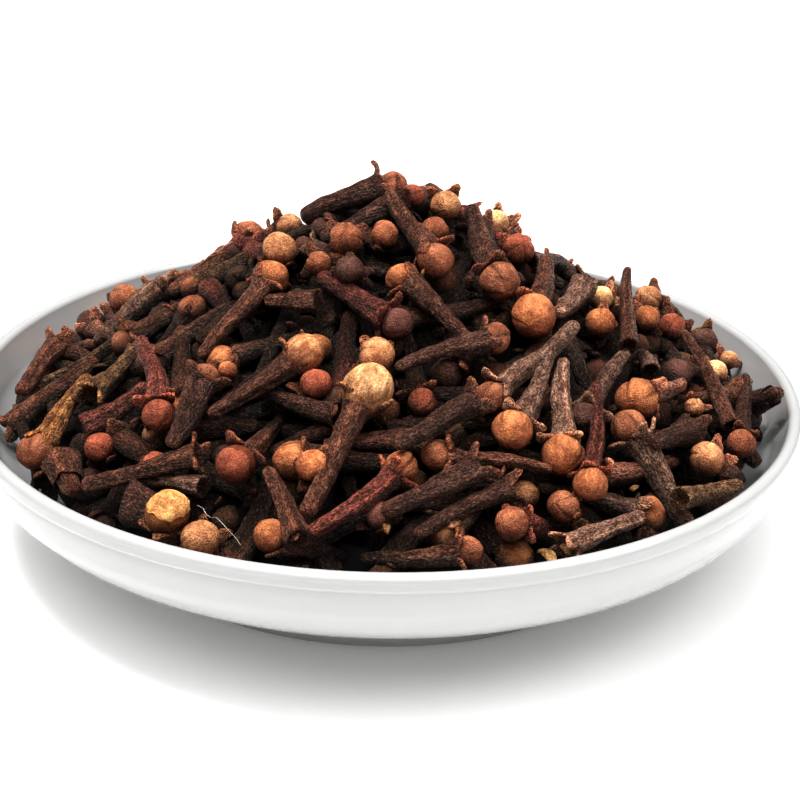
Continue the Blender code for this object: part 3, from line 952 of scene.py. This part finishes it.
def granule_group():
    """Pebbled plant skin: a height for the bump, and masks of its hollows for painted shade, its light
    flecks for painted glints over pale grains, and its folds.
    """
    group = bpy.data.node_groups.new("plant_granules", "ShaderNodeTree")
    for name, kind in (("Place", "Vector"), ("Scale", "Float"), ("Stretch", "Float")):
        group.interface.new_socket(name, in_out="INPUT", socket_type="NodeSocket" + kind)
    for name in ("Height", "Hollow", "Speck", "Fold"):
        group.interface.new_socket(name, in_out="OUTPUT", socket_type="NodeSocketFloat")
    given = group.nodes.new("NodeGroupInput").outputs
    results = group.nodes.new("NodeGroupOutput").inputs

    def noise(place, scale, rough):
        inputs = {"Vector": place, "Scale": scale, "Detail": 3.0, "Roughness": rough}
        return node(group, "ShaderNodeTexNoise", inputs).outputs["Fac"]

    def scaled(factors):
        inputs = {0: given["Place"], 1: factors}
        return node(group, "ShaderNodeVectorMath", inputs, operation="MULTIPLY").outputs[0]

    def join(operation, inputs):
        return node(group, "ShaderNodeMath", inputs, operation=operation).outputs[0]

    stretch = node(group, "ShaderNodeCombineXYZ", {"X": 1.0, "Y": 1.0, "Z": given["Stretch"]})
    spot = scaled(stretch.outputs[0])
    cells = {"Vector": spot, "Scale": given["Scale"], "Randomness": 1.0}
    pebbles = node(group, "ShaderNodeTexVoronoi", cells).outputs["Distance"]
    crumbs = noise(spot, join("MULTIPLY", {0: given["Scale"], 1: 0.75}), 0.7)
    folds = noise(scaled((1.0, 1.0, 0.22)), 1.9, 0.6)
    bumps = remap(group, pebbles, 0.0, 0.8, 0.7, 0.0)
    both = join("ADD", {0: bumps, 1: remap(group, crumbs, 0.3, 0.7, 0.0, 1.0)})
    for name, value in (
        ("Height", join("MULTIPLY_ADD", {0: folds, 1: 2.2, 2: both})),
        ("Hollow", remap(group, both, 0.5, 0.9, 1.0, 0.0)),
        ("Speck", remap(group, both, 0.92, 1.12, 0.0, 1.0)),
        ("Fold", remap(group, folds, 0.36, 0.62, 0.0, 1.0)),
    ):
        group.links.new(value, results[name])
    return group


def clove_material(name, group, finish):
    """Dried plant skin over each clove's tint, which carries painted shade, with dark hollows and creases
    as painted shade, light flecks as painted glints over pale grains, rubbed edges, and bud tops lighter as
    painted light.
    """
    material, tree, shader = new_material(name)
    grain = node(tree, "ShaderNodeAttribute", attribute_name="grain").outputs
    tint = node(tree, "ShaderNodeAttribute", attribute_name="tint").outputs
    wear_and_shade = node(tree, "ShaderNodeAttribute", attribute_name="wear_and_shade").outputs
    skin = node(tree, "ShaderNodeGroup", node_tree=group)
    skin.inputs["Scale"].default_value = finish.scale
    skin.inputs["Stretch"].default_value = finish.stretch
    tree.links.new(grain["Vector"], skin.inputs["Place"])
    masks = skin.outputs
    blotch = node(tree, "ShaderNodeTexNoise", {"Vector": grain["Vector"], "Scale": 0.6, "Detail": 3.0})
    blotched = remap(tree, blotch.outputs["Fac"], 0.36, 0.64, 0.0, 1.0)
    varied = mix_colours(tree, blotched, BLOTCH_LOW, BLOTCH_HIGH)
    streaked = mix_colours(tree, masks["Fold"], (*finish.fold, 1), FOLD_HIGH)
    streaked = mix_colours(tree, tint["Alpha"], WHITE, streaked)
    base = multiply(tree, multiply(tree, tint["Color"], streaked), varied)
    # Painted shade where the mask is low: creases, seams and bud bases; lighter where it is high: rubbed
    # edges, and bud tops as painted light
    sunk_shade = mix_colours(tree, remap(tree, wear_and_shade["Fac"], 0.0, 0.45, 1.0, 0.0), WHITE, SUNK_SHADE)
    raised_and_lit = mix_colours(tree, remap(tree, wear_and_shade["Fac"], 0.5, 1.0, 0.0, 1.0), WHITE, (*finish.worn, 1))
    worn = multiply(tree, base, multiply(tree, sunk_shade, raised_and_lit))
    # Painted shade in the grain's hollows
    hollow = mix_colours(tree, masks["Hollow"], worn, multiply(tree, worn, (*finish.hollow, 1)))
    # Light flecks: painted glints over pale grains
    specks = node(tree, "ShaderNodeMath", {0: masks["Speck"], 1: finish.specks}, operation="MULTIPLY")
    speck = mix_colours(tree, 0.55, multiply(tree, worn, SPECK_GLINT_LIFT), (*finish.speck, 1))
    colour = mix_colours(tree, specks.outputs[0], hollow, speck)
    tree.links.new(colour, shader.inputs["Base Color"])
    relief = {"Height": masks["Height"], "Strength": 1.0, "Distance": finish.bump}
    tree.links.new(node(tree, "ShaderNodeBump", relief).outputs["Normal"], shader.inputs["Normal"])
    rough = remap(tree, masks["Hollow"], 0.0, 1.0, finish.rough, finish.rough + 0.3)
    tree.links.new(rough, shader.inputs["Roughness"])
    shader.inputs["Specular IOR Level"].default_value = 0.5
    shader.inputs["Specular Tint"].default_value = OIL_SHEEN
    return material


def glaze_material():
    """White glaze: glossy, with a faint ripple and a slight change of tone."""
    material, tree, shader = new_material("white_glaze")
    place = node(tree, "ShaderNodeTexCoord").outputs["Object"]
    cloud = node(tree, "ShaderNodeTexNoise", {"Vector": place, "Scale": 60.0, "Detail": 2.0})
    tone = mix_colours(tree, cloud.outputs["Fac"], (0.57, 0.575, 0.57, 1), (0.61, 0.61, 0.603, 1))
    tree.links.new(tone, shader.inputs["Base Color"])
    ripple = node(tree, "ShaderNodeTexNoise", {"Vector": place, "Scale": 140.0, "Detail": 1.5})
    relief = {"Height": ripple.outputs["Fac"], "Strength": 0.25, "Distance": 0.0002}
    tree.links.new(node(tree, "ShaderNodeBump", relief).outputs["Normal"], shader.inputs["Normal"])
    tree.links.new(remap(tree, cloud.outputs["Fac"], 0.3, 0.7, 0.1, 0.16), shader.inputs["Roughness"])
    shader.inputs["Coat Weight"].default_value = 0.5
    shader.inputs["Coat Roughness"].default_value = 0.05
    return material


def plain_material(name, colour, rough):
    material, tree, shader = new_material(name)
    place = node(tree, "ShaderNodeTexCoord").outputs["Object"]
    cloud = node(tree, "ShaderNodeTexNoise", {"Vector": place, "Scale": 900.0, "Detail": 3.0})
    low = tuple(0.7 * part for part in colour) + (1,)
    high = tuple(min(1.25 * part, 1.0) for part in colour) + (1,)
    tree.links.new(mix_colours(tree, cloud.outputs["Fac"], low, high), shader.inputs["Base Color"])
    shader.inputs["Roughness"].default_value = rough
    return material


def make_piece(name, shape, material):
    """A bmesh as a smooth object of one material. The bmesh is freed."""
    for face in shape.faces:
        face.smooth = True
    mesh = bpy.data.meshes.new(name)
    shape.to_mesh(mesh)
    shape.free()
    mesh.materials.append(material)
    piece = bpy.data.objects.new(name, mesh)
    bpy.context.scene.collection.objects.link(piece)
    return piece


# Dish


def sweep(start, bend, end, steps):
    shares = np.linspace(0, 1, steps + 1)[:, None]
    return (1 - shares) ** 2 * start + 2 * shares * (1 - shares) * bend + shares**2 * end


def dish_section():
    """The dish's section from the floor's middle over the lip to the base's middle."""
    rim, top = RIM_RADIUS, RIM_HEIGHT
    angles = np.radians(np.linspace(180, 0, 15))
    lip = LIP_ROUND * np.stack([np.cos(angles) - 1, np.sin(angles) - 1], axis=1) + (rim, top)
    groove = top - GROOVE_BELOW_LIP
    band = np.array(
        [
            (rim, groove + 0.35),
            (rim - 0.06, groove + 0.12),
            (rim - 0.17, groove),
            (rim - 0.16, groove - 0.15),
        ]
    )
    start = np.array([rim - 0.15, groove - 0.3])
    belly = np.array([BELLY_RADIUS, BELLY_HEIGHT])
    bend = np.array([rim - 0.4, start[1] - WALL_FULLNESS * (start[1] - belly[1])])
    wall = sweep(start, bend, belly, 22)
    line_height = top - SECOND_LINE_BELOW_LIP
    wall[:, 0] -= SECOND_LINE_DEPTH * np.exp(-(((wall[:, 1] - line_height) / 0.22) ** 2))
    waist = np.array([FOOT_RADIUS + 0.5, FOOT_HEIGHT])
    under = sweep(belly, waist + (1.9, 1.0), waist, 8)[1:]
    turn = np.radians(np.linspace(0, -90, 5))
    ring = np.stack([np.cos(turn), 1 + np.sin(turn)], axis=1)
    foot = FOOT_ROUND * ring + (FOOT_RADIUS - FOOT_ROUND, 0.0)
    inside = FOOT_RADIUS - FOOT_WIDTH
    hollow = np.array(
        [
            (inside, 0.0),
            (inside - 0.3, 0.15),
            (inside - 0.5, RECESS_DEPTH - 0.2),
            (inside - 1.0, RECESS_DEPTH),
            (0.0, RECESS_DEPTH),
        ]
    )
    step = np.diff(wall[:-1], axis=0)
    normal = np.stack([step[:, 1], -step[:, 0]], axis=1) / np.linalg.norm(step, axis=1)[:, None]
    inner = (wall[:-2] + wall[1:-1]) / 2 + WALL * normal
    low = inner[-1]
    floor_edge = np.array([FLOOR_RADIUS, FLOOR_HEIGHT])
    floor = sweep(floor_edge, np.array([low[0] - 6.5, FLOOR_HEIGHT + 0.7]), low, 12)
    centre = [(0.0, FLOOR_HEIGHT)]
    return np.vstack([centre, floor, inner[-2:2:-1], lip, band, wall, under, foot, hollow])


def make_dish(material):
    """The dish, spun in one piece from its section."""
    shell = bmesh.new()
    verts = [shell.verts.new((radius, 0.0, height)) for radius, height in dish_section() * MM]
    edges = [shell.edges.new(pair) for pair in zip(verts[:-1], verts[1:])]
    bmesh.ops.spin(
        shell,
        geom=verts + edges,
        cent=(0, 0, 0),
        axis=(0, 0, 1),
        angle=2 * math.pi,
        steps=DISH_STEPS,
        use_merge=True,
    )
    bmesh.ops.remove_doubles(shell, verts=shell.verts, dist=0.000005)
    bmesh.ops.recalc_face_normals(shell, faces=shell.faces)
    dish = make_piece("glazed_dish", shell, material)
    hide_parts("dish")
    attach(dish, "root")


# The heap's inside, crumbs and the fibre


def make_core(material):
    """The shaded inside of the heap, lumpy and well below its surface."""
    core = bmesh.new()
    bmesh.ops.create_icosphere(core, subdivisions=6, radius=1.0)
    for vert in core.verts:
        direction = math.atan2(vert.co.y, vert.co.x)
        reach = math.hypot(vert.co.x, vert.co.y) * float(edge_radius(direction)) * CORE_EDGE_SHARE
        x = PEAK_X + reach * math.cos(direction)
        y = PEAK_Y + reach * math.sin(direction)
        lumps = math.sin(x * 0.9 + 2 * math.sin(y * 0.5)) * math.sin(y * 1.1 + 1.5 * math.sin(x * 0.7))
        height = CORE_FLOOR + 0.012 * max(math.hypot(x, y) - 24.0, 0.0) ** 2
        if vert.co.z > 0:
            top = float(heap_height(x, y)) - CORE_DEPTH + CORE_LUMPS * lumps
            height = max(top, height + 0.5)
        vert.co = (x * MM, y * MM, height * MM)
    bmesh.ops.recalc_face_normals(core, faces=core.faces)
    return make_piece("heap_core", core, material)


def add_crumbs(heap, lies, draw):
    """Small broken bits that lie between the cloves."""
    share, angle, faces = PLAIN.tooth
    polar = share * math.pi
    ball = np.stack([np.sin(polar) * np.cos(angle), np.sin(polar) * np.sin(angle), -np.cos(polar)], axis=1)
    under = [lie for lie in lies if lie.layer in (1, 2)]
    for row in draw.choice(len(under), CRUMB_COUNT):
        lie = under[row]
        size = draw.uniform(0.25, 0.65)
        scale = size * np.array([draw.uniform(0.7, 1.6), draw.uniform(0.5, 0.9), draw.uniform(0.3, 0.6)])
        turn = draw.uniform(0, 6.28)
        spin = np.array(Matrix.Rotation(turn, 3, Vector(draw.normal(0, 1, 3)).normalized()))
        place = lie.tail + draw.uniform(0.1, 0.75) * (lie.head - lie.tail)
        place = place + np.array([draw.normal(0, 0.2), draw.normal(0, 0.2), 0.6 * lie.stem])
        if place[2] > heap_height(place[0], place[1]) - 0.9:
            continue
        tint = (BARK["umber"] if draw.random() < 0.7 else BUD["brown"]) * draw.uniform(0.35, 0.8)
        points = ball * scale @ spin.T
        grain = points + draw.uniform(0, 50, 3)
        heap.add(points + place, faces, 0, grain, np.append(tint, 0.5), np.full(len(points), 0.6))


def add_shards(heap, draw):
    """Yellow bits of broken bud at the front, near the lip."""
    form = FINE.tooth
    tint = np.append(BUD["pale"] * 0.5, 0.8)
    for pixel, size in SHARDS:
        _, place = on_heap(pixel, 0.8)
        spoke = draw.uniform(0, 6.28)
        points, wear_and_shade = tooth_points(form, (0.3, 0.0), spoke, (0.6, 2.2), size * 1.5, size * 0.6, 0.22, draw)
        turn = np.array(Matrix.Rotation(draw.uniform(-0.8, 0.8), 3, "X"))
        heap.add(points @ turn.T + place, form[2], 1, points, tint, wear_and_shade)


def make_fibre(material):
    """A pale curly fibre that lies over the front left of the heap."""
    knots = np.arange(len(FIBRE_PIXELS))
    steps = np.linspace(0, knots[-1], FIBRE_STEPS)
    track = np.array(FIBRE_PIXELS, float)
    smooth = np.stack([np.interp(steps, knots, track[:, k]) for k in (0, 1)], axis=1)
    smooth[1:-1] = (smooth[:-2] + smooth[1:-1] + smooth[2:]) / 3
    depth = min(on_heap(pixel, 2.2)[0] for pixel in FIBRE_PIXELS)
    line = np.array([CAMERA_PLACE + photo_ray(pixel) * depth for pixel in smooth])
    rod = bmesh.new()
    bmesh.ops.create_uvsphere(rod, u_segments=8, v_segments=len(line) + 1, radius=1.0)
    for vert in rod.verts:
        share = math.acos(max(-1.0, min(1.0, -vert.co.z))) / math.pi
        at = share * (len(line) - 1)
        place = np.array([np.interp(at, np.arange(len(line)), line[:, k]) for k in range(3)])
        around = math.atan2(vert.co.y, vert.co.x)
        thick = 0.0 if share in (0.0, 1.0) else FIBRE_RADIUS
        place += thick * (math.cos(around) * CAMERA_RIGHT - math.sin(around) * CAMERA_FORWARD)
        place += thick * math.sin(around) * 0.5 * CAMERA_UP
        vert.co = Vector(place * MM)
    bmesh.ops.recalc_face_normals(rod, faces=rod.faces)
    return make_piece("curly_fibre", rod, material)


# Light and floor


def make_floor():
    """A white floor, a little darker near the dish as painted shade, that glows a little as painted light
    lifting the shadow near the dish, and more far from the dish, where the lamps don't reach.
    """
    material, tree, shader = new_material("pale_floor")
    place = node(tree, "ShaderNodeTexCoord").outputs["Object"]
    away = node(tree, "ShaderNodeVectorMath", {0: place}, operation="LENGTH").outputs["Value"]
    tone = mix_colours(tree, remap(tree, away, 0.12, 0.4, 0.0, 1.0), FLOOR_NEAR, FLOOR_FAR)
    tree.links.new(tone, shader.inputs["Base Color"])
    tree.links.new(remap(tree, away, 0.7, 2.4, FLOOR_GLOW, 0.9), shader.inputs["Emission Strength"])
    shader.inputs["Emission Color"].default_value = WHITE
    shader.inputs["Roughness"].default_value = 0.7
    shader.inputs["Specular IOR Level"].default_value = 0.2
    sheet = bmesh.new()
    bmesh.ops.create_grid(sheet, x_segments=1, y_segments=1, size=FLOOR_HALF)
    floor = make_piece("floor", sheet, material)


def make_lamp(name, place, size, power):
    light = bpy.data.lights.new(name, "AREA")
    light.shape = "DISK"
    light.size = size
    light.energy = power
    lamp = bpy.data.objects.new(name, light)
    turn = (Vector(LAMP_AIM) - Vector(place)).to_track_quat("-Z", "Y").to_matrix().to_4x4()
    lamp.matrix_world = Matrix.Translation(place) @ turn
    bpy.context.scene.collection.objects.link(lamp)


def make_light():
    """Three soft lamps in a dim world that looks white to the camera."""
    world = bpy.data.worlds.new("studio")
    world.use_nodes = True
    tree = world.node_tree
    backdrop = tree.nodes["Background"].inputs
    backdrop["Color"].default_value = WHITE
    sight = node(tree, "ShaderNodeLightPath").outputs["Is Camera Ray"]
    tree.links.new(remap(tree, sight, 0.0, 1.0, WORLD_LIGHT, 1.0), backdrop["Strength"])
    bpy.context.scene.world = world
    for name, (place, size, power) in LAMPS.items():
        make_lamp(name, place, size, power)
    view = bpy.context.scene.view_settings
    view.view_transform = "Standard"
    view.look = "None"
    view.gamma = VIEW_GAMMA


# The whole scene


def stand_for_heap(piece):
    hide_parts("cloves")
    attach(piece, "root")


def make_cloves(skins):
    """The cloves, joined by layer and kind, and the bits among them, over the skins of bark and bud."""
    lies = lay_cloves()
    draw = np.random.default_rng(PIECE_SEED)
    for name, (layers, budded) in PIECES.items():
        heap = Heap()
        for lie in lies:
            if lie.layer in layers and budded == (lie.kind in BUDDED):
                add_clove(heap, lie, FINENESS[lie.layer], draw)
        stand_for_heap(heap.make(name, skins))
    bits = Heap()
    add_crumbs(bits, lies, draw)
    add_shards(bits, draw)
    stand_for_heap(bits.make("broken_bits", skins))


def main():
    make_camera()
    make_light()
    make_floor()
    make_dish(glaze_material())
    granules = granule_group()
    bark = clove_material("clove_bark", granules, BARK_SKIN)
    bud = clove_material("clove_bud", granules, BUD_SKIN)
    make_cloves([bark, bud])
    stand_for_heap(make_fibre(plain_material("pale_fibre", FIBRE_COLOUR, 0.6)))
    stand_for_heap(make_core(plain_material("heap_shade", SHADE_COLOUR, 1.0)))


main()
